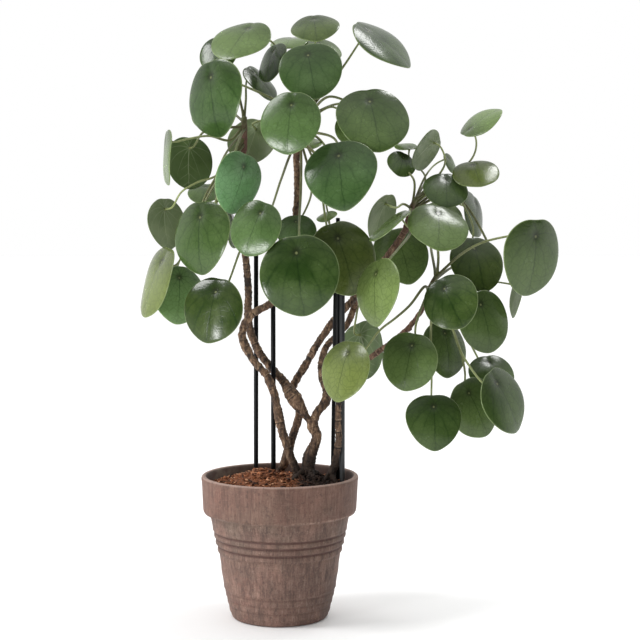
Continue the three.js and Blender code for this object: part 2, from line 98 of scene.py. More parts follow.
# Leaves: crown, x, z and depth of the middle, width, the way the upper side faces, the way the
# tip points from the front (x, z), narrowing toward the tip, points that the stalk passes, and
# how light and how bluish the green is.
leaves = [
    ["B", -47, 690, -30, 74, [-.22, -.66, .72], [-.45, -.75], .0, [[-10, 687, 30]], 0.5, 0.3],
    ["A", -74, 673, 12, 50, [-.3, -.85, .4], [-.1, -1], .05, [], 0, 0.3],
    ["B", -79, 620, -50, 93, [-.68, -.73, 0], [.12, -1], .1, [[-20, 624, -18], [-48, 636, -28]], 0.1, 0.5],
    ["A", -84, 603, 25, 48, [-.2, -.8, .55], [-.5, -.8], .05, [], 0.3, 0.3],
    ["B", -10, 663, 0, 51, [-.72, -.55, .35], [-.2, -1], .05, [], 0, 0.3],
    ["A", -23, 638, 18, 52, [.66, -.45, .58], [.6, -.7], .05, [[-41, 617, 8]], 0.1, 0.3],
    ["B", 37, 653, -50, 76, [-.05, -.93, .36], [.18, -1], .1, [], 0.15, 0.5],
    ["B", 42, 705, -10, 59, [-.1, -.62, .78], [.1, -.9], .0, [], 0.1, 0.1],
    ["B", 50, 678, 36, 50, [.2, -.6, .77], [.4, -.8], .0, [], 0.4, 0.3],
    ["B", 11, 687, 46, 46, [-.1, -.4, .9], [-.3, -.9], .0, [], 0.5, 0.3],
    ["B", 12, 591, -95, 76, [-.3, -.93, .15], [-.1, -1], .02, [], 0.3, 0.5],
    ["B", -34, 567, 45, 60, [.2, .9, -.35], [-.3, -.9], .05, [], 0.6, 0.1],
    ["B", 123, 685, -10, 84, [.52, -.5, .69], [.79, -.61], .05, [[73, 653, -8]], 0, 0.3],
    ["B", 112, 595, -70, 90, [.15, -.85, .5], [.2, -1], .05, [[58, 621, -22]], 0.2, 0.3],
    ["B", 89, 583, 10, 46, [0, -.9, .3], [.2, -1], .05, [[62, 609, 0]], 0.4, 0.3],
    ["B", 73, 528, -101, 88, [-.2, -.92, .3], [.1, -1], .2, [[65, 571, -45]], 0.1, 0.6],
    ["C", 175, 557, 10, 53, [-.75, .5, .42], [-.7, -.7], .05, [[198, 541, 24]], 0, 0.1],
    ["C", 146, 541, 20, 36, [.3, -.8, .5], [-.3, -1], .0, [[161, 520, 4]], 0.2, 0.3],
    ["C", 151, 562, 35, 28, [0, -.35, .94], [-.5, .3], .0, [[174, 526, 34]], 0.5, 0.3],
    ["C", 205, 541, 40, 28, [.8, -.45, .4], [.5, -.8], .1, [], 0.2, 0.3],
    ["A", -136, 549, -50, 66, [-.975, -.22, .02], [0, -1], .02,
     [[-60, 569, 4], [-84, 574, -8], [-108, 571, -28]], 0.5, 0.3],
    ["A", -109, 542, 10, 63, [-.55, .82, -.1], [0, -1], .05, [[-90, 580, -8]], 0, 1],
    ["A", -137, 469, 20, 62, [-.78, .6, -.1], [.1, -1], .1,
     [[-74, 528, 4], [-100, 518, 2], [-118, 507, -2]], 0.3, 0.1],
    ["A", -95, 453, -60, 88, [-.62, -.78, .08], [0, -1], .12, [], 0.2, 0.4],
    ["A", -50, 518, -70, 75, [.72, -.67, -.15], [-.3, -1], .12, [], 1, 1],
    ["B", -30, 464, -100, 68, [-.4, -.87, .2], [-.37, -.93], .03, [[12, 551, -14], [1, 521, -44]], 0.3, 0.5],
    ["A", -91, 506, 64, 40, [0, -.6, .8], [-.2, -1], .05, [], 0.2, 0.3],
    ["A", -149, 400, -20, 88, [-.85, -.43, .3], [-.35, -1], .05, [], 0.7, 0],
    ["A", -122, 385, 30, 72, [.5, -.8, .25], [0, -1], .08, [], 1, 0.6],
    ["A", -81, 366, -70, 79, [-.4, -.88, .15], [-.2, -1], .03,
     [[-51, 549, -9], [-50, 500, -12], [-46, 443, -16], [-50, 431, -24]], 0, 0.1],
    ["A", -58, 466, 0, 55, [.95, -.2, .2], [0, -1], .05, [], 0.2, 0.3],
    ["B", 23, 408, -120, 97, [-.15, -.97, .1], [.12, -1], .03,
     [[25, 557, -13], [25, 509, -16], [23, 470, -50]], 0, 0.3],
    ["B", 20, 460, -20, 48, [0, -.85, .5], [.1, -1], .0, [[38, 510, 2], [30, 484, 4]], 0.3, 0.5],
    ["B", 76, 428, -60, 90, [.45, -.88, .15], [.3, -.95], .05, [[50, 540, -20], [52, 493, -30]], 0.3, 0],
    ["B", 56, 478, -8, 26, [-.3, -.4, .87], [.3, -.9], .05, [[46, 530, 2]], 1, 0.3],
    ["C", 121, 477, -30, 60, [-.82, .5, .36], [-.3, -1], .1, [], 0.4, 0.1],
    ["E", 147, 431, 56, 70, [.3, -.9, .3], [.3, -1], .15,
     [[182, 434, 0], [176, 462, 50], [156, 468, 84]], 0.5, 0.3],
    ["C", 116, 387, -104, 82, [-.83, -.55, .15], [0, -1], .18,
     [[157, 459, -30], [143, 440, -60], [130, 424, -84]], 0.8, 0.2],
    ["E", 190, 466, -80, 74, [.15, -.72, .67], [-.05, -1], .03, [[190, 430, -44]], 0.5, 0.3],
    ["C", 199, 510, -20, 55, [.1, -.75, .65], [0, -1], .0, [], 0.1, 0.3],
    ["C", 235, 530, -10, 56, [-.1, -.6, .79], [.2, -.9], .0, [], 0.4, 0],
    ["C", 241, 591, -10, 56, [-.5, -.42, .76], [.8, .58], .03, [[229, 545, 22]], 0.6, 0.3],
    ["C", 233, 480, 40, 57, [.86, -.45, .2], [-.1, -1], .08, [[196, 500, 30]], 0, 0.3],
    ["C", 237, 421, -6, 70, [.35, -.88, .35], [.2, -1], .08,
     [[192, 508, 2], [211, 503, -8], [224, 484, 0], [232, 462, 12]], 0.1, 0.1],
    ["E", 303, 429, -70, 94, [.6, -.78, -.17], [-.08, -1], .08,
     [[216, 431, -50], [240, 445, -58], [270, 453, -64]], 0.3, 0.3],
    ["E", 284, 381, -20, 50, [.98, .1, -.15], [-.1, -1], .1, [[216, 418, 24], [250, 402, 46]], 0.7, 0.3],
    ["E", 205, 375, -110, 68, [-.35, -.88, .25], [.4, -.9], .06, [], 0, 0.2],
    ["C", 245, 352, -50, 75, [.5, -.85, .15], [.25, -1], .06,
     [[205, 507, 8], [222, 492, 6], [238, 468, 16], [254, 430, 30], [250, 390, 10]], 0.3, 0.3],
    ["E", 155, 304, -100, 70, [-.35, -.9, .15], [-.2, -1], .06, [[176, 383, -44], [163, 347, -76]], 0.4, 0.3],
    ["E", 199, 319, -40, 68, [.6, -.75, .2], [.1, -1], .08, [], 0.3, 0.3],
    ["E", 77, 293, -130, 75, [-.68, -.7, .3], [-.25, -1], .1,
     [[173, 393, -52], [156, 371, -64], [138, 355, -78], [120, 341, -92]], 0.7, 0],
    ["D", 100, 317, 96, 70, [.72, .68, -.12], [.2, -1], .08, [[98, 396, 86], [92, 360, 84]], 0, 1],
    ["E", 185, 231, -100, 67, [.1, -.95, .2], [.03, -1], .2,
     [[181, 371, -66], [181, 330, -72], [182, 290, -80]], 0.1, 0.3],
    ["E", 234, 248, -60, 72, [.5, -.85, .15], [.4, -.9], .06,
     [[208, 340, -56], [216, 318, -58], [222, 290, -58]], 0.4, 0.3],
    ["E", 269, 257, -90, 81, [.7, -.65, .3], [.45, -.9], .03,
     [[206, 345, -72], [213, 325, -76], [222, 306, -80]], 0.1, 0.3],
    ["E", 254, 289, -16, 56, [.1, -.75, .65], [.2, -1], .03, [], 0.2, 0.3],
    ["C", 131, 468, -76, 60, [-.6, -.16, .78], [-.77, -.64], .05, [], 0.5, 0.3],
    ["B", 36, 566, 28, 30, [0, -.45, .89], [.3, -1], .05, [], 1, 0.3],
    ["A", -92, 462, 70, 66, [-.3, .85, .4], [-.2, -1], .08, [], 0.3, 0.3],
    ["B", 8, 596, 80, 58, [-.2, .8, .5], [-.2, -1], .08, [], 0.3, 0.3],
    ["B", 112, 600, 66, 66, [.3, .8, .5], [.2, -1], .08, [], 0.3, 0.3],
    ["B", 74, 528, 70, 66, [.3, .9, .2], [.1, -1], .08, [], 0.3, 0.3],
    ["D", 76, 424, 130, 70, [0, .95, .3], [.1, -1], .08, [], 0.3, 0.3],
    ["D", 22, 408, 70, 72, [-.4, .85, .3], [0, -1], .08, [], 0.3, 0.3],
    ["C", 194, 470, 74, 54, [.3, .9, .3], [.1, -1], .08, [], 0.3, 0.3],
    ["E", 207, 376, 40, 54, [.3, .9, .2], [.1, -1], .08, [], 0.3, 0.3],
]
rods = {  # x at the ground, depth y, foot, top, radius, lean to the right
    "rod_far_left": [-28.7, 50, 67, 450, 2.8, 0],
    "rod_left": [-7.8, 24, 67, 420, 2.9, -0.002],
    "rod_back_right": [63.1, 30, 122, 450, 2.5, 0.015],
    "rod_mid_right": [69.5, 14, 124, 476, 2.5, 0],
    "rod_front_right": [74.8, 6, 140, 440, 3, 0],
}
pot = {
    "height": 168, "floor": 9, "band": 44, "foot": 57.5, "bandFoot": 91.6, "rim": 93.8,
    "wall": 6.5, "soil": 157, "segments": 128, "insideFoot": 52, "insideBend": 77,
    # outside of the body from the foot up: height, radius; it widens in small steps
    "steps": [
        (2.5, 58), (9, 60.4), (14.5, 61.2), (17.5, 62.6), (22.5, 63.3), (26, 64.8), (31.5, 65.6), (36, 67.3),
        (60, 70.5), (75, 72.2), (79, 74.6), (84.5, 74.4), (88, 77), (93.3, 76.8), (96.5, 79), (101.3, 78.9),
        (104.5, 80.6), (122, 83.2),
    ],
    # height, on a knot of the steps above, and the depth, and the half width and strength of the painted shade in the
    # groove
    "grooves": [
        (84.5, 0.9, 1.7, 0.85), (93.3, 0.9, 1.7, 0.85), (101.3, 0.9, 1.6, 0.85),
        (14.5, 0.2, 1.2, 0.3), (22.5, 0.2, 1.3, 0.3), (31.5, 0.2, 1.3, 0.4),
    ],
}


def place(spot):
    x, z, y = spot
    t = (y - eye.y) / -eye.y
    return Vector((eye.x + (x - eye.x) * t, y, eye.z + (z - eye.z) * t))


# A smooth curve through the points, at a share of its spans.
def curvePoint(points, share):
    last = len(points) - 1
    spot = min(last * share, last - 1e-9)
    i = int(spot)
    w = spot - i
    p1, p2 = points[i], points[i + 1]
    p0 = points[i - 1] if i > 0 else p1 * 2 - p2
    p3 = points[i + 2] if i + 2 <= last else p2 * 2 - p1
    d0, d1, d2 = [max((b - a).length, 1e-6) ** 0.5 for a, b in ((p0, p1), (p1, p2), (p2, p3))]
    m1 = ((p1 - p0) / d0 - (p2 - p0) / (d0 + d1) + (p2 - p1) / d1) * d1
    m2 = ((p2 - p1) / d1 - (p3 - p1) / (d1 + d2) + (p3 - p2) / d2) * d1
    return p1 + m1 * w + (p1 * -3 + p2 * 3 - m1 * 2 - m2) * w ** 2 + (p1 * 2 - p2 * 2 + m1 + m2) * w ** 3


# The same curve as a list of evenly spaced places.
def evenPath(points, spacing):
    count = 16 * len(points)
    fine = [curvePoint(points, i / count) for i in range(count + 1)]
    lengths = [0.0]
    for a, b in zip(fine, fine[1:]):
        lengths.append(lengths[-1] + (b - a).length)
    steps = max(3, round(lengths[-1] / spacing))
    path, k = [], 0
    for i in range(steps + 1):
        goal = lengths[-1] * i / steps
        while k < count - 1 and lengths[k + 1] < goal:
            k += 1
        path.append(fine[k].lerp(fine[k + 1], (goal - lengths[k]) / max(lengths[k + 1] - lengths[k], 1e-9)))
    return path


def newPiece():
    bm = bmesh.new()
    for name in ("tone", "along", "rim"):
        bm.verts.layers.float.new(name)
    bm.loops.layers.uv.new("leafPlan")
    return bm


# Moves a finished part, with its layers, into the whole piece.
def joinInto(whole, part):
    mesh = bpy.data.meshes.new("part")
    part.to_mesh(mesh)
    part.free()
    whole.from_mesh(mesh)
    bpy.data.meshes.remove(mesh)


# A closed tube: a plain cylinder is cut into rings, and each ring goes to its place on the path.
# radiusAt takes the share of the length, the angle and the place, and gives millimetres; ringAt
# takes the millimetres along and counts the rings, for the bark.
def addTube(whole, path, radiusAt, sides, material, toneAt, ringAt=lambda along: along):
    bm = newPiece()
    bmesh.ops.create_cone(bm, cap_ends=True, segments=sides, radius1=1, radius2=1, depth=1)
    upright = [e for e in bm.edges if abs(e.verts[0].co.z - e.verts[1].co.z) > 0.5]
    steps = len(path) - 1
    bmesh.ops.subdivide_edges(bm, edges=upright, cuts=steps - 1, use_grid_fill=True)
    frames = []
    across = (path[1] - path[0]).orthogonal()
    for i in range(steps + 1):
        ahead = (path[min(i + 1, steps)] - path[max(i - 1, 0)]).normalized()
        across = (across - ahead * across.dot(ahead)).normalized()
        frames.append((across, ahead.cross(across)))
    toneLayer, alongLayer, ringLayer = [bm.verts.layers.float[name] for name in ("tone", "along", "rim")]
    step = (path[1] - path[0]).length
    for v in bm.verts:
        i = round((v.co.z + 0.5) * steps)
        angle = math.atan2(v.co.y, v.co.x)
        out = frames[i][0] * math.cos(angle) + frames[i][1] * math.sin(angle)
        v.co = path[i] + out * radiusAt(i / steps, angle, path[i] + out * 4)
        v[toneLayer] = toneAt(i / steps)
        v[alongLayer] = i / steps
        v[ringLayer] = ringAt(i * step)
    for face in bm.faces:
        face.material_index = material
    joinInto(whole, bm)


def finishPiece(name, bm, materials, nodes):
    for face in bm.faces:
        face.smooth = True
    bmesh.ops.scale(bm, vec=(mm, mm, mm), verts=bm.verts)
    mesh = bpy.data.meshes.new(name)
    bm.to_mesh(mesh)
    bm.free()
    piece = bpy.data.objects.new(name, mesh)
    bpy.context.scene.collection.objects.link(piece)
    for material in materials:
        mesh.materials.append(material)
    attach(piece, "root")
    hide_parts(*nodes)
    print("made", name, len(mesh.polygons), "faces")


# Shader helpers: a node with its inputs, given as numbers, colours or sockets.
def addNode(tree, kind, sockets=None, **settings):
    made = tree.nodes.new(kind)
    for name, value in settings.items():
        setattr(made, name, value)
    for name, value in (sockets or {}).items():
        if isinstance(value, bpy.types.NodeSocket):
            tree.links.new(value, made.inputs[name])
        else:
            made.inputs[name].default_value = value
    return made


def calc(tree, operation, a, b=0.0, c=0.0):
    return addNode(tree, "ShaderNodeMath", {0: a, 1: b, 2: c}, operation=operation).outputs[0]


def times(tree, value, *factors):
    for factor in factors:
        value = calc(tree, "MULTIPLY", value, factor)
    return value


# The base value and a share of the mask on top of it.
def plus(tree, base, mask, share):
    return calc(tree, "MULTIPLY_ADD", mask, share, base)


def apart(tree, value, middle):
    return calc(tree, "ABSOLUTE", calc(tree, "SUBTRACT", value, middle))


def hypotenuse(tree, a, b):
    return calc(tree, "SQRT", calc(tree, "ADD", times(tree, a, a), times(tree, b, b)))


def split(tree, vector):
    return addNode(tree, "ShaderNodeSeparateXYZ", {0: vector}).outputs


def blend(tree, amount, low, high):
    return addNode(tree, "ShaderNodeMix", {0: amount, 6: low, 7: high}, data_type="RGBA").outputs[2]


def spread(tree, value, low, high, outLow=0.0, outHigh=1.0):
    sockets = {0: value, 1: low, 2: high, 3: outLow, 4: outHigh}
    return addNode(tree, "ShaderNodeMapRange", sockets, interpolation_type="SMOOTHSTEP").outputs[0]


def cloud(tree, vector, scale, detail=4.0, roughness=0.55, distortion=0.0):
    sockets = {"Vector": vector, "Scale": scale, "Detail": detail, "Roughness": roughness, "Distortion": distortion}
    return addNode(tree, "ShaderNodeTexNoise", sockets).outputs["Fac"]


def cellEdges(tree, vector, scale):
    sockets = {"Vector": vector, "Scale": scale}
    return addNode(tree, "ShaderNodeTexVoronoi", sockets, feature="DISTANCE_TO_EDGE").outputs["Distance"]


def stretched(tree, vector, scale):
    return addNode(tree, "ShaderNodeMapping", {"Vector": vector, "Scale": scale}).outputs[0]


def layer(tree, name):
    return addNode(tree, "ShaderNodeAttribute", attribute_name=name).outputs["Fac"]


def hue(red, green, blue):
    return tuple(((c / 255 + 0.055) / 1.055) ** 2.4 if c > 10 else c / 255 / 12.92 for c in (red, green, blue)) + (1.0,)


# A group with number outputs; an input without a value is a vector.
def newGroup(name, inputs, outputs):
    group = bpy.data.node_groups.new(name, "ShaderNodeTree")
    for label, value in inputs.items():
        kind = "NodeSocketVector" if value is None else "NodeSocketFloat"
        socket = group.interface.new_socket(label, in_out="INPUT", socket_type=kind)
        if value is not None:
            socket.default_value = value
    for label in outputs:
        group.interface.new_socket(label, in_out="OUTPUT", socket_type="NodeSocketFloat")
    return group, group.nodes.new("NodeGroupInput").outputs, group.nodes.new("NodeGroupOutput").inputs


def newMaterial(name):
    material = bpy.data.materials.new(name)
    material.use_nodes = True
    tree = material.node_tree
    return material, tree, addNode(tree, "ShaderNodeTexCoord").outputs["Object"]


# Lays coats of colour over a base. A coat is a colour of the look, or any colour socket, its
# strength and its mask, and then, for a mask to be spread, the two values it runs between.
def paint(tree, look, base, *coats):
    for colour, strength, mask, *ends in coats:
        mask = spread(tree, mask, *ends) if ends else mask
        base = blend(tree, times(tree, mask, strength), base, look[colour] if isinstance(colour, str) else colour)
    return base


# Wires the colour, the bump and the roughness, which is its least value and a share of a mask.
def dress(material, base, rough, height, strength, distance, specular=0.5):
    tree = material.node_tree
    shader = tree.nodes["Principled BSDF"]
    mask, share, least = rough
    bump = addNode(tree, "ShaderNodeBump", {"Height": height, "Strength": strength, "Distance": distance})
    tree.links.new(base, shader.inputs["Base Color"])
    tree.links.new(plus(tree, least, mask, share), shader.inputs["Roughness"])
    tree.links.new(bump.outputs[0], shader.inputs["Normal"])
    shader.inputs["Specular IOR Level"].default_value = specular
    return material


blade = {
    "grid": 20, "smallGrid": 12, "smallRadius": 16, "thickness": 1.1, "rounding": 0.42, "hub": -0.56,
    # shares of the radius
    "dish": 0.085, "droop": 0.035, "dimple": 0.042, "crease": 0.018, "keel": 0.006, "wave": 0.035,
    "tip": 0.04, "notch": 0.05,
}
veinPlan = {"fingerEvery": 0.32, "branchEvery": 0.17, "netScale": 5.0, "speckAt": -0.53}


# Veins of a leaf, from its plan: the middle vein runs from the stalk to the tip, side veins leave
# the stalk like fingers and bend toward the tip, and a net of small cells lies between them.
def makeVeins():
    outputs = ("Middle", "Side", "Net", "Hub", "DimpleShade", "Quilt")
    group, given, result = newGroup("leafVeins", {"Plan": None, "Width": 0.03}, outputs)
    plan = split(group, given["Plan"])
    along = calc(group, "SUBTRACT", plan[0], blade["hub"])
    reach = hypotenuse(group, along, plan[1])
    wobble = plus(group, -0.05, cloud(group, given["Plan"], 3.0, 2.0), 0.1)
    angle = calc(group, "ADD", calc(group, "ARCTAN2", plan[1], along), wobble)
    thin = times(group, given["Width"], spread(group, reach, 0.0, 1.6, 1.0, 0.35))
    off = calc(group, "ABSOLUTE", times(group, angle, reach))
    less = calc(group, "SUBTRACT", 1.0, times(group, calc(group, "MINIMUM", reach, 1.4), 0.3))
    bend = calc(group, "DIVIDE", angle, less)
    every = veinPlan["fingerEvery"]
    aside = times(group, calc(group, "PINGPONG", calc(group, "ADD", bend, 20 * every), every), reach)
    fingers = spread(group, aside, times(group, thin, 0.75), 0.0)
    # branches that leave the middle vein along its way
    slope = times(group, calc(group, "ABSOLUTE", calc(group, "ADD", plan[1], wobble)), 0.75)
    slant = calc(group, "ADD", calc(group, "SUBTRACT", plan[0], slope), 3.0)
    branch = spread(group, calc(group, "PINGPONG", slant, veinPlan["branchEvery"]), 0.016, 0.003)
    near = spread(group, calc(group, "ABSOLUTE", bend), 0.62, 0.3)
    branches = times(group, branch, near, spread(group, reach, 0.3, 0.5))
    # a pale speck where the stalk joins, beside painted shade in the dimple round it
    speck = hypotenuse(group, calc(group, "SUBTRACT", plan[0], veinPlan["speckAt"]), plan[1])
    made = {
        "Middle": spread(group, off, thin, 0.0),
        "Side": calc(group, "MAXIMUM", times(group, fingers, spread(group, reach, 1.45, 0.9)), branches),
        "Net": spread(group, cellEdges(group, given["Plan"], veinPlan["netScale"]), 0.1, 0.0),
        "Hub": spread(group, speck, 0.05, 0.015),
        "DimpleShade": spread(group, reach, 0.2, 0.03),
        "Quilt": times(group, spread(group, aside, 0.01, 0.09), spread(group, reach, 0.3, 0.9)),
    }
    for name, socket in made.items():
        group.links.new(socket, result[name])
    return group


# Uneven tone at a given scale, for leaves, bark and clay.
def makeMottle():
    group, given, result = newGroup("mottle", {"Vector": None, "Scale": 10.0, "Low": 0.3, "High": 0.7}, ("Tone",))
    soft = cloud(group, given["Vector"], given["Scale"], 5.0, 0.6)
    group.links.new(spread(group, soft, given["Low"], given["High"]), result["Tone"])
    return group


veins, mottle = makeVeins(), makeMottle()


def patches(tree, vector, scale, low, high):
    sockets = {"Vector": vector, "Scale": scale, "Low": low, "High": high}
    return addNode(tree, "ShaderNodeGroup", sockets, node_tree=mottle).outputs["Tone"]


# The leaf's plan, and the masks of its veins.
def leafVeins(tree, width):
    plan = addNode(tree, "ShaderNodeUVMap", uv_map="leafPlan").outputs[0]
    return plan, addNode(tree, "ShaderNodeGroup", {"Plan": plan, "Width": width}, node_tree=veins).outputs


leafLook = {
    "dark": hue(34, 54, 10), "light": hue(120, 133, 70), "coolDark": hue(26, 58, 22), "coolLight": hue(108, 154, 100),
    "vein": hue(16, 34, 10), "hub": hue(146, 152, 104), "rim": hue(150, 168, 112), "shade": hue(38, 48, 26),
    # the colour that darkens the dimple round the stalk's joint is painted shade
    "dimpleShade": hue(28, 32, 18), "under": hue(112, 126, 90), "underDark": hue(62, 84, 42),
    "underVein": hue(146, 156, 122), "underGreen": hue(66, 92, 34),
    "roughness": 0.2, "underRoughness": 0.42, "specular": 0.35, "veinWidth": 0.036, "underVeinWidth": 0.04,
}


def leafUpper():
    material, tree, at = newMaterial("leaf_upper")
    plan, vein = leafVeins(tree, leafLook["veinWidth"])
    cool = layer(tree, "along")
    low = blend(tree, cool, leafLook["dark"], leafLook["coolDark"])
    high = blend(tree, cool, leafLook["light"], leafLook["coolLight"])
    patch = patches(tree, at, 26.0, 0.35, 0.68)
    base = paint(
        tree, leafLook, blend(tree, layer(tree, "tone"), low, high),
        (high, 0.2, patch), (high, 0.08, vein["Quilt"]), ("dark", 0.12, patches(tree, at, 240.0, 0.4, 0.75)),
        ("shade", 0.45, split(tree, plan)[0], 0.2, -0.75),
        ("vein", 0.2, vein["Net"]), ("vein", 0.24, vein["Side"]), ("vein", 0.34, vein["Middle"]),
        # painted shade darkens the dimple round the hub
        ("dimpleShade", 0.65, vein["DimpleShade"]), ("hub", 0.45, vein["Hub"]), ("rim", 0.4, layer(tree, "rim"), 0.972, 1.0),
    )
    ridge = times(tree, calc(tree, "MAXIMUM", vein["Middle"], times(tree, vein["Side"], 0.6)), -0.45)
    ridge = plus(tree, plus(tree, ridge, vein["Net"], -0.25), cloud(tree, at, 90.0, 3.0), 1.2)
    rough = (patch, 0.08, leafLook["roughness"])
    return dress(material, base, rough, ridge, 0.2, 0.0006, leafLook["specular"])


def leafUnder():
    material, tree, at = newMaterial("leaf_under")
    plan, vein = leafVeins(tree, leafLook["underVeinWidth"])
    patch = patches(tree, at, 34.0, 0.35, 0.68)
    base = paint(
        tree, leafLook, leafLook["under"],
        ("underDark", 0.6, patch), ("rim", 0.35, layer(tree, "tone")), ("underGreen", 0.7, layer(tree, "along")),
        ("underVein", 0.4, vein["Side"]), ("underVein", 0.6, vein["Middle"]),
    )
    ridge = calc(tree, "MAXIMUM", vein["Middle"], times(tree, vein["Side"], 0.7))
    ridge = plus(tree, ridge, cloud(tree, at, 140.0, 3.0), 0.8)
    return dress(material, base, (patch, 0.15, leafLook["underRoughness"]), ridge, 0.4, 0.0006)


stalkLook = {"low": hue(96, 98, 56), "high": hue(158, 170, 112), "dark": hue(56, 46, 30), "roughness": 0.32}


def leafStalk():
    material, tree, at = newMaterial("leaf_stalk")
    streak = cloud(tree, stretched(tree, at, (260.0, 260.0, 60.0)), 1.0, 3.0)
    base = paint(
        tree, stalkLook, stalkLook["low"], ("high", 1.0, layer(tree, "along"), 0.0, 0.9),
        ("dark", 0.4, layer(tree, "tone")), ("dark", 0.35, streak, 0.5, 0.7),
    )
    return dress(material, base, (streak, 0.2, stalkLook["roughness"]), streak, 0.3, 0.0004)


barkLook = {
    "brown": hue(136, 106, 82), "dark": hue(54, 39, 30), "pale": hue(206, 176, 144), "red": hue(104, 70, 58),
    "humus": hue(52, 37, 28), "deep": hue(36, 25, 19), "green": hue(92, 96, 58),
    "roughness": 0.65, "shootRoughness": 0.45, "soakedAt": (0.222, 0.178),  # height in metres
}


# Bark of the woody stems, redder where the tone layer says so; each ring has a pale ridge, partly bark colour and
# partly painted highlight, and painted shade darkens the crack beside it and the bark's cracks; humus is how much of
# the potting mix clings to it.
def bark(name, humus):
    material, tree, at = newMaterial(name)
    flake = cloud(tree, stretched(tree, at, (1.0, 1.0, 0.35)), 210.0, 6.0, 0.65, 0.6)
    # painted shade darkens the bark's cracks
    cracks = spread(tree, cellEdges(tree, stretched(tree, at, (1.0, 1.0, 0.45)), 210.0), 0.12, 0.0)
    scar = cloud(tree, stretched(tree, at, (1.0, 1.0, 0.5)), 130.0, 4.0, 0.6)
    broken = spread(tree, cloud(tree, at, 75.0, 2.0), 0.42, 0.6)
    count = plus(tree, layer(tree, "rim"), cloud(tree, at, 130.0, 3.0), 0.16)
    # each ring: a pale ridge, partly bark colour and partly painted highlight, and a crease darkened with painted shade
    ridge, crease = [
        spread(tree, calc(tree, "PINGPONG", calc(tree, "ADD", count, shift), 0.5), wide, narrow)
        for shift, wide, narrow in ((9.92, 0.16, 0.05), (10.04, 0.1, 0.02))
    ]
    # the feet of the trunk and of the right stem are soaked with humus
    parts = split(tree, at)
    soaked = times(tree, spread(tree, parts[2], *barkLook["soakedAt"]), spread(tree, parts[0], 0.004, 0.024, 0.3, 1.0))
    base = paint(
        tree, barkLook, barkLook["dark"], ("brown", 1.0, flake, 0.34, 0.6), ("pale", 0.95, flake, 0.53, 0.74),
        # painted shade in the cracks and ring creases, and a painted highlight, partly bark colour, on the ring ridges
        ("dark", 0.35, patches(tree, at, 45.0, 0.35, 0.7)), ("dark", 0.45, cracks),
        ("pale", 0.25, times(tree, ridge, broken)), ("deep", 0.9, times(tree, crease, broken)),
        ("deep", 0.8, scar, 0.56, 0.66), ("red", 0.5, layer(tree, "tone"), 0.0, 1.0),
        ("deep", 0.85, soaked), ("humus", humus, 1.0),
    )
    height = plus(tree, plus(tree, flake, cracks, -0.5), crease, -0.8)
    return dress(material, base, (flake, 0.25, barkLook["roughness"]), height, 0.8, 0.0012)


def greenShoot():
    material, tree, at = newMaterial("green_shoot")
    flake = cloud(tree, stretched(tree, at, (1.0, 1.0, 0.4)), 240.0, 5.0, 0.65, 0.4)
    base = paint(
        tree, barkLook, barkLook["red"], ("green", 1.0, layer(tree, "along"), 0.35, 1.0),
        ("dark", 0.6, flake, 0.45, 0.7), ("pale", 0.4, flake, 0.35, 0.2),
    )
    return dress(material, base, (flake, 0.3, barkLook["shootRoughness"]), flake, 0.6, 0.0008)


leafMaterials = [leafUpper(), leafUnder(), leafStalk(), greenShoot()]
barkMaterials = [bark("bark", 0.0), bark("root_bark", 0.7)]
print("leaf and bark materials made")


def bladeFrame(row):
    x, z, y, width, faces, tip = row[1:7]
    up = Vector(faces).normalized()
    toTip = Vector((tip[0], 0, tip[1]))
    if abs(up.y) > 0.12:
        toTip.y = -(up.x * tip[0] + up.z * tip[1]) / up.y
    toTip = (toTip - up * toTip.dot(up)).normalized()
    return place((x, z, y)), up, toTip, up.cross(toTip), width / 2 * (y - eye.y) / -eye.y


def bladeHeight(a, b, turn):
    reach = min(1.2, math.hypot(a, b))
    dimple = blade["dimple"] * math.exp(-((a - blade["hub"]) ** 2 + b ** 2) / 0.03)
    crease = blade["crease"] * math.exp(-(b / 0.09) ** 2) * max(0.0, min(1.0, (blade["hub"] - a) / 0.2))
    keel = blade["keel"] * math.exp(-(b / 0.05) ** 2) * (1 if a > blade["hub"] else 0)
    wave = blade["wave"] * reach ** 2 * math.sin(3 * math.atan2(b, a) + turn)
    dish = blade["dish"] * (1 - reach ** 2) - blade["droop"] * reach ** 5
    return dish + 0.01 - dimple - crease - keel + wave


def rimPoint(angle, narrowing):
    tip = blade["tip"] * math.exp(-(angle / 0.3) ** 2)
    notch = blade["notch"] * math.exp(-((math.pi - abs(angle)) / 0.22) ** 2)
    reach = 1.005 + tip - notch
    return reach * math.cos(angle), reach * math.sin(angle) * (1 - narrowing * math.cos(angle))


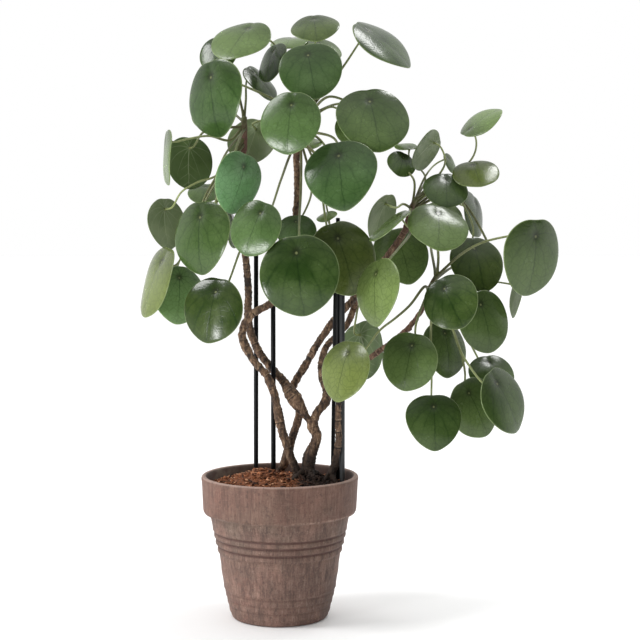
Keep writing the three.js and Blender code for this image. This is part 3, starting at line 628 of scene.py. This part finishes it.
# A blade starts as a flat square grid: it is rounded to the leaf's outline, made solid, its rim
# is rounded, and then it is dished and set where it grows.
def addBlade(whole, row, turn):
    middle, up, toTip, side, radius = bladeFrame(row)
    bm = newPiece()
    toneLayer, rimLayer, coolLayer = [bm.verts.layers.float[name] for name in ("tone", "rim", "along")]
    cells = blade["grid"] if radius > blade["smallRadius"] else blade["smallGrid"]
    bmesh.ops.create_grid(bm, x_segments=cells, y_segments=cells, size=1)
    for v in bm.verts:
        a = v.co.x * math.sqrt(1 - v.co.y ** 2 / 2)
        b = v.co.y * math.sqrt(1 - v.co.x ** 2 / 2)
        reach = math.hypot(a, b)
        rimA, rimB = rimPoint(math.atan2(b, a), row[7])
        v.co = (rimA * reach * radius, rimB * reach * radius, 0)
        v[rimLayer] = reach
    thickness = blade["thickness"]
    bmesh.ops.solidify(bm, geom=bm.faces[:], thickness=thickness)
    bmesh.ops.recalc_face_normals(bm, faces=bm.faces)
    flanks = {f for f in bm.faces if abs(f.normal.z) < 0.5}
    corners = [e for e in bm.edges if sum(f in flanks for f in e.link_faces) == 1]
    bmesh.ops.bevel(bm, geom=corners, offset=thickness * blade["rounding"], segments=2, profile=0.5,
                    affect="EDGES", material=-1)
    low = min(v.co.z for v in bm.verts)
    plan = bm.loops.layers.uv["leafPlan"]
    for face in bm.faces:
        face.material_index = 1 if face.normal.z < -0.3 else 0
        for loop in face.loops:
            loop[plan].uv = (loop.vert.co.x / radius, loop.vert.co.y / radius)
    for v in bm.verts:
        lift = v.co.z - low - thickness / 2 - 0.65 + bladeHeight(v.co.x / radius, v.co.y / radius, turn) * radius
        v.co = middle + toTip * v.co.x + side * v.co.y + up * lift
        v[toneLayer], v[coolLayer] = row[9:11]
    joinInto(whole, bm)


stalkParts = {
    "sides": 10, "spacing": 4, "thin": 1.05, "more": 0.35, "fullAt": 40,
    "foot": 0.9, "head": 0.8, "flare": 0.04,  # thicker at both ends
}


def addStalk(bm, row, turn, shoot, share):
    middle, up, toTip, side, radius = bladeFrame(row)
    hub = blade["hub"]
    end = middle + toTip * hub * radius + up * (bladeHeight(hub, 0, turn) * radius - 0.9)
    start = curvePoint(shoot, share)
    passed = [place(spot) for spot in row[8]]
    start = start + ((passed[0] if passed else end) - start).normalized()
    last = passed[-1] if passed else start
    approach = end - up * min(16, 0.3 * (last - end).length)
    points = [start, *passed, approach, end]
    if not passed:
        points.insert(1, start.lerp(approach, 0.5) + Vector((0, 0, 0.1 * (start - approach).length)))
    thick = stalkParts["thin"] + stalkParts["more"] * min(1, radius / stalkParts["fullAt"])
    foot, head, flare = stalkParts["foot"], stalkParts["head"], stalkParts["flare"]

    def thickness(u, angle, at):
        return thick * (1.3 - 0.5 * u) + foot * math.exp(-(u / flare) ** 2) + head * math.exp(-((1 - u) / flare) ** 2)

    shade = dice.random()
    addTube(bm, evenPath(points, stalkParts["spacing"]), thickness, stalkParts["sides"], 2, lambda u: shade)


shootParts = {"sides": 14, "rings": 7, "spacing": 1.6, "ring": 0.35, "uneven": 0.3}


def makeCrown(key, node):
    bm = newPiece()
    stem = [place(spot) for spot in stems[stemEnd[key]]]
    seat = stem[-1]
    ahead = (curvePoint(stem, 1) - curvePoint(stem, 0.999)).normalized()
    shoot = [place(spot) for spot in crowns[key]]
    shoot[0] = seat - ahead * 0.5
    shoot.insert(1, seat + ahead * 6)
    low, high = shootRadii[key]

    def thickness(u, angle, at):
        scar = shootParts["ring"] * math.exp(-((math.sin(u * math.pi * shootParts["rings"])) / 0.3) ** 2)
        uneven = shootParts["uneven"] * noise.noise(at * 0.25)
        return (low + (high - low) * u + scar + uneven) * (1 if u < 1 else 0.5)

    addTube(bm, evenPath(shoot, shootParts["spacing"]), thickness, shootParts["sides"], 3, lambda u: 0.5)
    own = sorted([row for row in leaves if row[0] == key], key=lambda row: row[2])
    for i, row in enumerate(own):
        turn = leaves.index(row) * 2.4
        addStalk(bm, row, turn, shoot, 0.4 + 0.58 * (i + 0.5) / len(own))
        addBlade(bm, row, turn)
    finishPiece(node + "_foliage", bm, leafMaterials, [node])


crownNodes = {"A": "crown_left", "B": "crown_top", "C": "crown_upper_right", "D": "crown_middle", "E": "crown_right"}
for key, node in crownNodes.items():
    makeCrown(key, node)
print("crowns made")

woodyStem = {
    "sides": 22, "spacing": 1.7, "ring": 0.3, "crack": 0.3, "ringEvery": 12.0, "rough": 1.0, "knots": 3.6,
    "flutes": 0.7,
    "slim": {"S5": 0.85},  # a stem that looks thinner than its solid
    "neck": {"S2": (1.8, 0.06)},  # thinner where it leaves the fork: by how much, over which share
}


def ringCount(along):
    return along / woodyStem["ringEvery"] + 0.45 * math.sin(along * 0.11) + 0.2 * math.sin(along * 0.29)


def addWoody(bm, name, redFrom):
    path = evenPath([place(spot) for spot in stems[name]], woodyStem["spacing"])
    low, high = stemRadii[name]
    length = woodyStem["spacing"] * (len(path) - 1)
    seed = Vector((7.0 * len(name), 3.0 * ord(name[1]), 0))

    def thickness(u, angle, at):
        r = low + (high - low) * u
        for spot, more, wide in swellings[name]:
            r += more * math.exp(-((u - spot) / wide) ** 2)
        ring = ringCount(u * length)
        r += woodyStem["ring"] * math.exp(-(math.sin(math.pi * ring) / 0.16) ** 2)
        r -= woodyStem["crack"] * math.exp(-(math.sin(math.pi * (ring + 0.12)) / 0.12) ** 2)
        r += woodyStem["knots"] * max(0, noise.noise(at * 0.11 + seed) - 0.32)
        r *= woodyStem["slim"].get(name, 1)
        less, over = woodyStem["neck"].get(name, (0, 1))
        r -= less * math.exp(-(u / over) ** 2)
        around = Vector((math.cos(angle), math.sin(angle), u * length * 0.05))
        r += woodyStem["flutes"] * noise.noise(around + seed)
        return r + woodyStem["rough"] * noise.fractal(at * 0.35, 1.0, 2.0, 3)

    redder = lambda u: max(0.0, (u - redFrom) / (1.01 - redFrom))
    addTube(bm, path, thickness, woodyStem["sides"], 0, redder, ringCount)


rootParts = {"sides": 12, "spacing": 1.6, "lumps": 0.9, "grain": 0.5}


# Short lumpy roots, dark with humus, that go under the mix.
def addRoot(bm, points, thick):
    def thickness(u, angle, at):
        uneven = rootParts["lumps"] * noise.noise(at * 0.35)
        return thick * (1.1 - 0.6 * u) + uneven + rootParts["grain"] * noise.noise(at * 0.9)

    path = evenPath([Vector(p) for p in points], rootParts["spacing"])
    addTube(bm, path, thickness, rootParts["sides"], 1, lambda u: 0.0)


# The stems of each node, with the share of the length from where each turns red, and its surface
# roots: places as x, y and z, and thickness.
woodyNodes = {
    "trunk": ({"T2": 1.0, "S1": 0.9, "S2": 0.85, "S4": 0.6}, [
        ([(31, 14, 172), (23, 7, 167), (15, 0, 161), (9, -4, 154)], 4.0),
        ([(34, 14, 172), (38, 5, 167), (42, -2, 161), (46, -7, 153)], 3.8),
        ([(36, 20, 171), (46, 23, 164), (52, 27, 155)], 3.4),
        ([(26, 16, 170), (18, 23, 164), (13, 29, 155)], 3.2),
    ]),
    "stem_back": ({"S3": 0.75}, [([(2, 58, 169), (-5, 52, 163), (-10, 47, 154)], 3.0)]),
    "stem_right": ({"S5": 0.45}, [
        ([(61, 8, 170), (55, 2, 163), (50, -3, 154)], 3.0),
        ([(62, 8, 169), (65, 0, 162), (66, -6, 154)], 2.6),
    ]),
}
for node, (redFrom, roots) in woodyNodes.items():
    bm = newPiece()
    for name, share in redFrom.items():
        addWoody(bm, name, share)
    for points, thick in roots:
        addRoot(bm, points, thick)
    finishPiece(node + "_bark", bm, barkMaterials, [node])
print("stems made")

rodLook = {
    "black": hue(9, 10, 12), "grey": hue(34, 38, 43), "satin": hue(84, 86, 88), "roughness": 0.28, "specular": 0.12,
    "segments": 24, "rounding": 0.8,
    "sheenFoot": {"rod_front_right": 1.0},  # this rod fades from a painted grey sheen at its foot to black at its top
}


def rodCoat():
    material, tree, at = newMaterial("rod_coat")
    streak = cloud(tree, stretched(tree, at, (420.0, 420.0, 14.0)), 1.0, 3.0)
    # the tone layer lays a painted grey sheen over the black
    coats = [("grey", 0.4, streak, 0.45, 0.75), ("satin", 1.0, layer(tree, "tone"))]
    base = paint(tree, rodLook, rodLook["black"], *coats)
    return dress(material, base, (streak, 0.25, rodLook["roughness"]), streak, 0.2, 0.0003, rodLook["specular"])


rodMaterial = rodCoat()
for name, (x, y, foot, top, radius, lean) in rods.items():
    bm = newPiece()
    tone = bm.verts.layers.float["tone"]
    foundX = place((x, 0, y)).x
    bmesh.ops.create_cone(bm, cap_ends=True, segments=rodLook["segments"], radius1=radius, radius2=radius,
                          depth=top - foot)
    ends = [e for e in bm.edges if abs(e.verts[0].co.z - e.verts[1].co.z) < 1]
    bmesh.ops.bevel(bm, geom=ends, offset=rodLook["rounding"], segments=3, profile=0.5, affect="EDGES", material=-1)
    half = (top + foot) / 2
    for v in bm.verts:
        height = v.co.z + half
        v.co += Vector((foundX + lean * (height - pot["soil"]), y, height - v.co.z))
        # painted sheen: the front right rod is lighter grey toward its foot
        v[tone] = rodLook["sheenFoot"].get(name, 0.0) if height < half else 0.0
    finishPiece(name + "_round", bm, [rodMaterial], [name])
print("rods made")

clayLook = {
    "clay": hue(136, 105, 92), "dark": hue(70, 53, 46), "red": hue(134, 92, 80), "pale": hue(176, 150, 134),
    # the groove colour is painted shade for the pot's grooves
    "inside": hue(70, 52, 45), "grey": hue(112, 102, 88), "grooveShade": hue(78, 50, 44), "lip": hue(172, 146, 134),
    "band": hue(110, 68, 52), "roughness": 0.62,
    # in metres: where each of these begins and is full
    "bandAt": (0.121, 0.127), "bandEnd": (0.1675, 0.165), "lipAt": (0.1655, 0.1675), "bandEdgeHighlightAt": 0.1255,
    "wallAt": (0.0895, 0.0882), "wallFrom": (0.15, 0.154),
}


def agedClay():
    material, tree, at = newMaterial("aged_clay")
    parts = split(tree, at)
    streaks = cloud(tree, stretched(tree, at, (1.0, 1.0, 0.3)), 90.0, 5.0, 0.65)
    brush = cloud(tree, stretched(tree, at, (1.0, 1.0, 0.05)), 420.0, 4.0, 0.7)
    cross = cloud(tree, stretched(tree, at, (0.12, 0.12, 1.0)), 420.0, 4.0, 0.7)
    runs = cloud(tree, stretched(tree, at, (1.0, 1.0, 0.16)), 130.0, 4.0, 0.6)
    fleck = cloud(tree, stretched(tree, at, (1.0, 1.0, 0.6)), 210.0, 6.0, 0.72)
    speckle = cloud(tree, at, 620.0, 3.0, 0.7)
    stain = patches(tree, stretched(tree, at, (1.0, 1.0, 0.5)), 22.0, 0.42, 0.68)
    blotch = patches(tree, at, 60.0, 0.45, 0.7)
    # redder toward the left, greyer patches below the band
    left = times(tree, spread(tree, parts[0], 0.01, -0.07), spread(tree, blotch, 0.1, 0.9))
    redder = plus(tree, times(tree, blotch, 0.12), left, 0.4)
    grey = times(tree, spread(tree, cloud(tree, at, 30.0, 4.0), 0.45, 0.65), spread(tree, parts[2], 0.06, 0.115))
    # thin upright scratches
    scratch = cloud(tree, stretched(tree, at, (1.0, 1.0, 0.03)), 260.0, 2.0, 0.5, 0.3)
    line = spread(tree, apart(tree, scratch, 0.5), 0.006, 0.0015)
    line = times(tree, line, spread(tree, cloud(tree, at, 34.0, 2.0), 0.55, 0.68))
    base = paint(
        tree, clayLook, clayLook["dark"],
        ("clay", 1.0, streaks, 0.3, 0.7), ("clay", 0.35, 1.0), ("dark", 0.6, stain), ("red", 1.0, redder),
        ("grey", 0.35, grey), ("pale", 0.3, brush, 0.5, 0.7), ("pale", 0.15, cross, 0.53, 0.72),
        ("dark", 0.6, brush, 0.47, 0.32), ("dark", 0.15, cross, 0.44, 0.3), ("dark", 0.45, speckle, 0.48, 0.36),
        ("pale", 0.4, speckle, 0.6, 0.72), ("dark", 0.5, runs, 0.54, 0.68), ("pale", 0.6, line),
    )
    # painted shade darkens the grooves, and a painted highlight runs as a pale line under the band
    uneven = spread(tree, streaks, 0.3, 0.6, 0.6, 1.0)
    for height, depth, half, strength in pot["grooves"]:
        # painted shade along each groove
        grooveShade = spread(tree, apart(tree, parts[2], height * mm), half * mm * 1.6, half * mm * 0.2)
        base = paint(tree, clayLook, base, ("grooveShade", strength, times(tree, grooveShade, uneven)))
    # a painted highlight: a pale line along the band's lower edge, stronger to the right, broken by the brush marks
    wearAndHighlight = times(
        tree, spread(tree, apart(tree, parts[2], clayLook["bandEdgeHighlightAt"]), 0.0014, 0.0003),
        spread(tree, parts[0], 0.0, 0.05, 0.1, 0.6), spread(tree, brush, 0.42, 0.56),
    )
    band = times(tree, spread(tree, parts[2], *clayLook["bandAt"]), spread(tree, parts[2], *clayLook["bandEnd"]))
    # the wall inside is darker, with a grey stain to the left
    away = hypotenuse(tree, parts[0], parts[1])
    inside = times(tree, spread(tree, away, *clayLook["wallAt"]), spread(tree, parts[2], *clayLook["wallFrom"]))
    stained = times(tree, spread(tree, parts[0], -0.02, -0.07), blotch)
    wall = blend(tree, stained, clayLook["inside"], clayLook["grey"])
    base = paint(
        tree, clayLook, base, ("pale", 1.0, wearAndHighlight), ("lip", 0.6, parts[2], *clayLook["lipAt"]), ("band", 0.25, band),
        ("dark", 0.55, fleck, 0.52, 0.64), (wall, 0.8, inside),
    )
    height = plus(tree, plus(tree, brush, cross, 0.2), cloud(tree, at, 900.0, 2.0), 0.6)
    return dress(material, base, (streaks, 0.2, clayLook["roughness"]), height, 0.45, 0.0006)


def bodyRadius(z):
    steps = pot["steps"]
    i = max(k for k in range(len(steps)) if k == 0 or steps[k][0] <= z)
    (z0, r0), (z1, r1) = steps[min(i, len(steps) - 2)], steps[min(i + 1, len(steps) - 1)]
    w = max(0, min(1, (z - z0) / (z1 - z0)))
    r = r0 + (r1 - r0) * w * w * (3 - 2 * w)
    return r - sum(deep * math.exp(-((z - at) / 1.1) ** 2) for at, deep, half, strength in pot["grooves"])


def insideRadius(z):
    step = pot["height"] - pot["band"] - 6
    low, bend = pot["insideFoot"], pot["insideBend"]
    if z <= step:
        return low + (bend - low) * (z - pot["floor"]) / (step - pot["floor"])
    return bend + (pot["rim"] - pot["wall"] - bend) * (z - step) / (pot["height"] - 3 - step)


# Half section of the pot, from the bottom's middle up the outside, over the lip and down inside.
def potSection():
    top, step, rim, foot, low = pot["height"], pot["height"] - pot["band"], pot["rim"], pot["foot"], pot["bandFoot"]
    section = [(0, 0.6), (40, 0.6), (foot - 4, 0.2), (foot - 1.6, 0), (foot - 0.5, 0.5)]
    section += [(bodyRadius(z), z) for z in [2.2 + 0.9 * i for i in range(int((step - 3.6) / 0.9))]]
    section += [(pot["steps"][-1][1] + 0.3, step - 1.2), (low - 4, step - 0.8)]
    section += [(low - 1.4, step + 0.2), (low - 0.2, step + 2.4)]
    section += [(low + (rim - low) * (z - step) / (top - step), z) for z in range(int(step + 5), int(top - 5), 4)]
    section += [(rim + 0.1, top - 5), (rim + 0.3, top - 3), (rim - 0.3, top - 1.2), (rim - 1.6, top - 0.2)]
    section += [(rim - 3.2, top), (rim - 4.8, top - 0.4), (rim - 6, top - 1.6), (insideRadius(top - 4), top - 4)]
    section += [(insideRadius(z), z) for z in (156, 150, 140, 130, 122, 118, 100, 80, 60, 40, 20)]
    return section + [(insideRadius(12), 12), (insideRadius(9) - 3, 9.2), (30, 9), (0, 9)]


def makePot():
    bm = newPiece()
    chain = [bm.verts.new((r, 0, z)) for r, z in potSection()]
    edges = [bm.edges.new(pair) for pair in zip(chain, chain[1:])]
    bmesh.ops.spin(bm, geom=chain + edges, cent=(0, 0, 0), axis=(0, 0, 1), angle=2 * math.pi,
                   steps=pot["segments"], use_merge=True)
    bmesh.ops.remove_doubles(bm, verts=bm.verts, dist=0.001)
    bmesh.ops.recalc_face_normals(bm, faces=bm.faces)
    for v in bm.verts:
        wearAndHighlight = 0.25 * noise.noise(v.co * 0.03) + 0.12 * noise.noise(v.co * 0.15)
        reach = math.hypot(v.co.x, v.co.y)
        if reach > 1:
            v.co.x *= 1 + wearAndHighlight / reach
            v.co.y *= 1 + wearAndHighlight / reach
    finishPiece("pot_clay", bm, [agedClay()], ["pot"])


makePot()

mixLook = {
    "brown": hue(112, 67, 42), "dark": hue(22, 13, 10), "red": hue(196, 122, 78), "pale": hue(214, 164, 128),
    "humus": hue(31, 21, 16), "roughness": 0.78, "lift": 0.85,
    "grid": 110, "clear": 0.9, "crumbs": 1300, "fibres": 260, "heaped": 150,
    "mounds": [(-21, 8, 28, 44, 15), (36, 12, 22, 24, 7)],  # x, y, reach both ways and height
    "heaps": [(40, 6, 21, 9), (62, 3, 10, 6), (0, 52, 9, 4)],  # x, y, reach and height of the mix against each stem
}


def coirMix():
    material, tree, at = newMaterial("coir_mix")
    grain = cloud(tree, at, 320.0, 5.0, 0.7)
    tone, lift = layer(tree, "tone"), mixLook["lift"]
    base = paint(
        tree, mixLook, mixLook["dark"], ("brown", 1.0, grain, 0.3, 0.65), ("red", lift, tone),
        ("dark", 0.7, tone, 0.34, 0.1), ("pale", lift, tone, 0.8, 1.0), ("humus", 0.95, layer(tree, "rim"), 0.1, 0.7),
    )
    return dress(material, base, (grain, 0.2, mixLook["roughness"]), grain, 0.9, 0.0015)


# How much of the mix is dark humus: from the flare to the right and forward to the rim.
def humusShare(x, y):
    return math.exp(-(((x - 47) / 28) ** 2 + ((y + 14) / 52) ** 2) ** 1.5)


def groundHeight(x, y):
    rise = sum(tall * math.exp(-(((x - midX) / wide) ** 2 + ((y - midY) / deep) ** 2))
               for midX, midY, wide, deep, tall in mixLook["mounds"])
    lumps = 1.3 * math.sin(x * 0.31 + 1.3 * math.sin(y * 0.23)) * math.cos(y * 0.27 + 0.8)
    edge = min(1, (86 - math.hypot(x, y)) / 16)
    grain = 1.1 * noise.noise(Vector((x * 0.22, y * 0.22, 0))) + 0.6 * noise.noise(Vector((x * 0.7, y * 0.7, 4)))
    return pot["soil"] + (rise + lumps) * max(0, edge) + grain


# A chance place within a circle, and how far it is from the middle.
def scatter(wide, midX=0, midY=0):
    reach, angle = wide * math.sqrt(dice.random()), dice.uniform(0, 2 * math.pi)
    return midX + reach * math.cos(angle), midY + reach * math.sin(angle), reach


# The mix is a round grid pulled up into a solid that fills the pot, with loose coir on top.
def makeMix():
    bm = newPiece()
    tone, humus = bm.verts.layers.float["tone"], bm.verts.layers.float["rim"]
    bmesh.ops.create_grid(bm, x_segments=mixLook["grid"], y_segments=mixLook["grid"], size=1)
    under = list(bm.verts)
    raised = bmesh.ops.extrude_face_region(bm, geom=bm.faces[:])["geom"]
    topVerts = [v for v in raised if isinstance(v, bmesh.types.BMVert)]
    for group, height in ((topVerts, pot["soil"]), (under, pot["floor"])):
        wide = insideRadius(height) - mixLook["clear"]
        for v in group:
            x = v.co.x * math.sqrt(1 - v.co.y ** 2 / 2) * wide
            y = v.co.y * math.sqrt(1 - v.co.x ** 2 / 2) * wide
            v.co = (x, y, groundHeight(x, y) - 0.8 if group is topVerts else pot["floor"] + 0.4)
            v[tone], v[humus] = 0.3, humusShare(x, y)
    bmesh.ops.recalc_face_normals(bm, faces=bm.faces)
    # a ring of cuts at the bend of the wall keeps the sides inside the pot
    bend = pot["height"] - pot["band"] - 6
    flank = [e for e in bm.edges if abs(e.verts[0].co.z - e.verts[1].co.z) > 60]
    cut = bmesh.ops.subdivide_edges(bm, edges=flank, cuts=1, use_grid_fill=True)
    wide = insideRadius(bend) - mixLook["clear"]
    for v in [v for v in cut["geom_inner"] if isinstance(v, bmesh.types.BMVert)]:
        away = math.hypot(v.co.x, v.co.y)
        v.co = (v.co.x / away * wide, v.co.y / away * wide, bend)

    def colour(made, shade, share):
        for v in made["verts"]:
            v[tone], v[humus] = shade, share

    def addCrumb(x, y, z):
        big = dice.random() ** 2.2
        size = Vector((dice.uniform(0.9, 1.9) + 2.6 * big, dice.uniform(0.7, 1.3) + 1.5 * big, dice.uniform(0.5, 1.1)))
        turn = Euler((dice.uniform(-0.7, 0.7), dice.uniform(-0.7, 0.7), dice.uniform(0, 6.3)))
        spot = Matrix.LocRotScale(Vector((x, y, z)), turn, size)
        colour(bmesh.ops.create_icosphere(bm, subdivisions=1, radius=1, matrix=spot), dice.random(), humusShare(x, y))

    for i in range(mixLook["crumbs"]):
        x, y, reach = scatter(83)
        addCrumb(x, y, groundHeight(x, y) + dice.uniform(-0.7, 1.2))
    for midX, midY, wide, tall in mixLook["heaps"]:
        for i in range(mixLook["heaped"]):
            x, y, reach = scatter(wide, midX, midY)
            addCrumb(x, y, groundHeight(x, y) + tall * dice.random() * (1 - reach / wide))
    for i in range(mixLook["fibres"]):
        x, y, reach = scatter(82)
        turn = Euler((math.pi / 2 + dice.uniform(-0.3, 0.3), 0, dice.uniform(0, 6.3)))
        spot = Matrix.LocRotScale(Vector((x, y, groundHeight(x, y) + dice.uniform(0.0, 1.2))), turn, None)
        made = bmesh.ops.create_cone(bm, cap_ends=True, segments=4, radius1=0.35, radius2=0.2,
                                     depth=dice.uniform(5, 13), matrix=spot)
        colour(made, dice.uniform(0.3, 1.0), 0.6 * humusShare(x, y))
    finishPiece("potting_mix_coir", bm, [coirMix()], ["potting_mix"])


makeMix()
print("pot and mix made")

studio = {
    "floor": 60.0, "white": (0.93, 0.93, 0.93, 1.0), "paper": (0.95, 0.95, 0.95, 1.0), "lens": 78.75, "shift": -0.117,
    "bright": 1.0, "dim": 0.08,  # the white cove behind and above, and the dark room in front
}


def makeStudio():
    bm = bmesh.new()
    bmesh.ops.create_grid(bm, x_segments=1, y_segments=1, size=studio["floor"])
    bmesh.ops.translate(bm, vec=(0, 0, -0.0006), verts=bm.verts)
    mesh = bpy.data.meshes.new("studio_floor")
    bm.to_mesh(mesh)
    bm.free()
    floor = bpy.data.objects.new("studio_floor", mesh)
    bpy.context.scene.collection.objects.link(floor)
    material, tree, at = newMaterial("studio_white")
    shader = tree.nodes["Principled BSDF"]
    paper = blend(tree, cloud(tree, at, 40.0, 3.0), studio["white"], studio["paper"])
    tree.links.new(paper, shader.inputs["Base Color"])
    shader.inputs["Roughness"].default_value = 0.9
    mesh.materials.append(material)

    world = bpy.data.worlds.new("studio_world")
    world.use_nodes = True
    bpy.context.scene.world = world
    tree = world.node_tree
    output, plain = tree.nodes["World Output"], tree.nodes["Background"]
    way = split(tree, addNode(tree, "ShaderNodeTexCoord").outputs["Generated"])
    behind, above = spread(tree, way[1], -0.35, 0.25), spread(tree, way[2], 0.35, 0.85)
    cove = spread(tree, calc(tree, "MAXIMUM", behind, above), 0.0, 1.0, studio["dim"], studio["bright"])
    plain.inputs["Color"].default_value = (1, 1, 1, 1)
    tree.links.new(cove, plain.inputs["Strength"])
    seen = addNode(tree, "ShaderNodeBackground", {"Color": (1, 1, 1, 1), "Strength": 1.0}).outputs[0]
    ray = addNode(tree, "ShaderNodeLightPath").outputs["Is Camera Ray"]
    mixed = addNode(tree, "ShaderNodeMixShader", {0: ray, 1: plain.outputs[0], 2: seen})
    tree.links.new(mixed.outputs[0], output.inputs["Surface"])


def addLight(name, kind, at, toward, energy, **settings):
    data = bpy.data.lights.new(name, kind)
    data.energy = energy
    for key, value in settings.items():
        setattr(data, key, value)
    light = bpy.data.objects.new(name, data)
    light.location = at
    light.rotation_euler = (Vector(toward) - Vector(at)).to_track_quat("-Z", "Y").to_euler()
    bpy.context.scene.collection.objects.link(light)


makeStudio()
addLight("sun_soft", "SUN", (-2.0, -0.45, 2.1), (0, 0, 0.2), 1.6, angle=0.35)
addLight("left_box", "AREA", (-1.5, -1.45, 0.25), (0.05, 0, 0.45), 18, shape="RECTANGLE", size=0.28, size_y=0.4)
addLight("top_box", "AREA", (0.75, 0.4, 2.15), (0.05, 0, 0.4), 14, shape="RECTANGLE", size=0.45, size_y=0.45)

bpy.context.scene.view_settings.view_transform = "Standard"
bpy.context.scene.view_settings.look = "None"
camera = bpy.data.cameras.new("front_camera")
camera.lens = studio["lens"]
camera.sensor_width = 36
camera.shift_y = studio["shift"]
camera.clip_end = 50
view = bpy.data.objects.new("front_camera", camera)
view.location = eye * mm
view.rotation_euler = (math.pi / 2, 0, 0)
bpy.context.scene.collection.objects.link(view)
bpy.context.scene.camera = view
print("studio and camera set")
